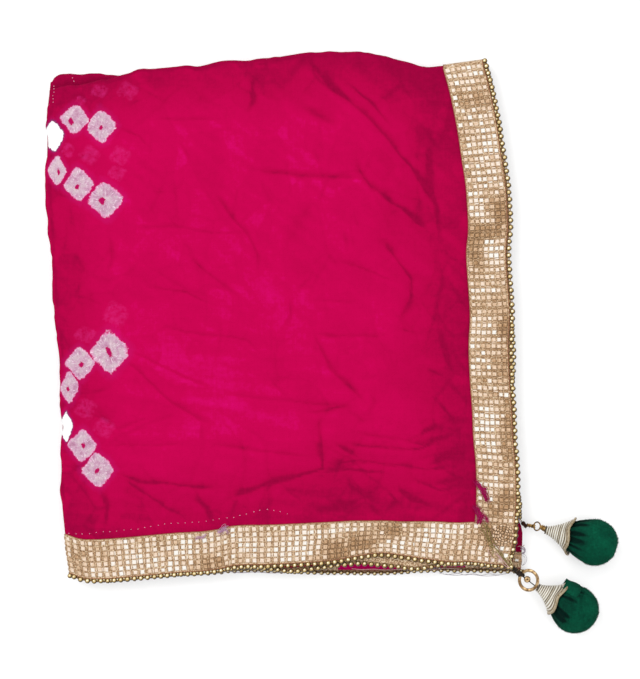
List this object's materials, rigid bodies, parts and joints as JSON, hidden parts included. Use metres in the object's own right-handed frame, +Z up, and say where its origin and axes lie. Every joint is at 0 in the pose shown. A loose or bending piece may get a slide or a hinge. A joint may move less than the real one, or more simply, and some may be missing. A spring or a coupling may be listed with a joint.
{
  "type": "folded bandhani dupatta",
  "caption": "Rani-pink tie-dyed dupatta folded flat in a rectangular stack, with gold foil lace, bead edging and green velvet ball tassels at the loose corners.",
  "frame": {"origin": "centre of the bounding box at the plane the folded cloth rests on", "axes": "+X to the laced side edge, +Y to the cross fold away from the tassels, +Z up out of the stack"},
  "size_m": [0.544, 0.5524, 0.0436],
  "materials": {
    "pink_cloth": "soft matt tie-dyed cloth, rani pink with pale tied squares",
    "gold_lace": "gold foil sequin lace ribbon",
    "gold_beads": "polished gold coloured beads",
    "green_velvet": "dark green velvet",
    "wound_gold_thread": "champagne gold thread wound in rings",
    "dark_thread": "dark brown thread",
    "gilt_wire": "gilt wire"
  },
  "bodies": {
    "root": {"bandhani_cloth": "pink_cloth", "beads_end_lowest": "gold_beads", "beads_end_top": "gold_beads", "beads_side_under": "gold_beads", "beads_side_upper": "gold_beads", "lace_end_lowest": "gold_lace", "lace_end_top": "gold_lace", "lace_side_under": "gold_lace", "lace_side_upper": "gold_lace", "lower_tassel_ball": "green_velvet", "lower_tassel_bead": "gold_beads", "lower_tassel_cap": "wound_gold_thread", "lower_tassel_knot": "dark_thread", "lower_tassel_loop": "dark_thread", "lower_tassel_ring": "gilt_wire", "upper_tassel_ball": "green_velvet", "upper_tassel_cap": "wound_gold_thread", "upper_tassel_knot": "dark_thread", "upper_tassel_link": "gilt_wire", "upper_tassel_wire": "gilt_wire"}
  },
  "joints": []
}
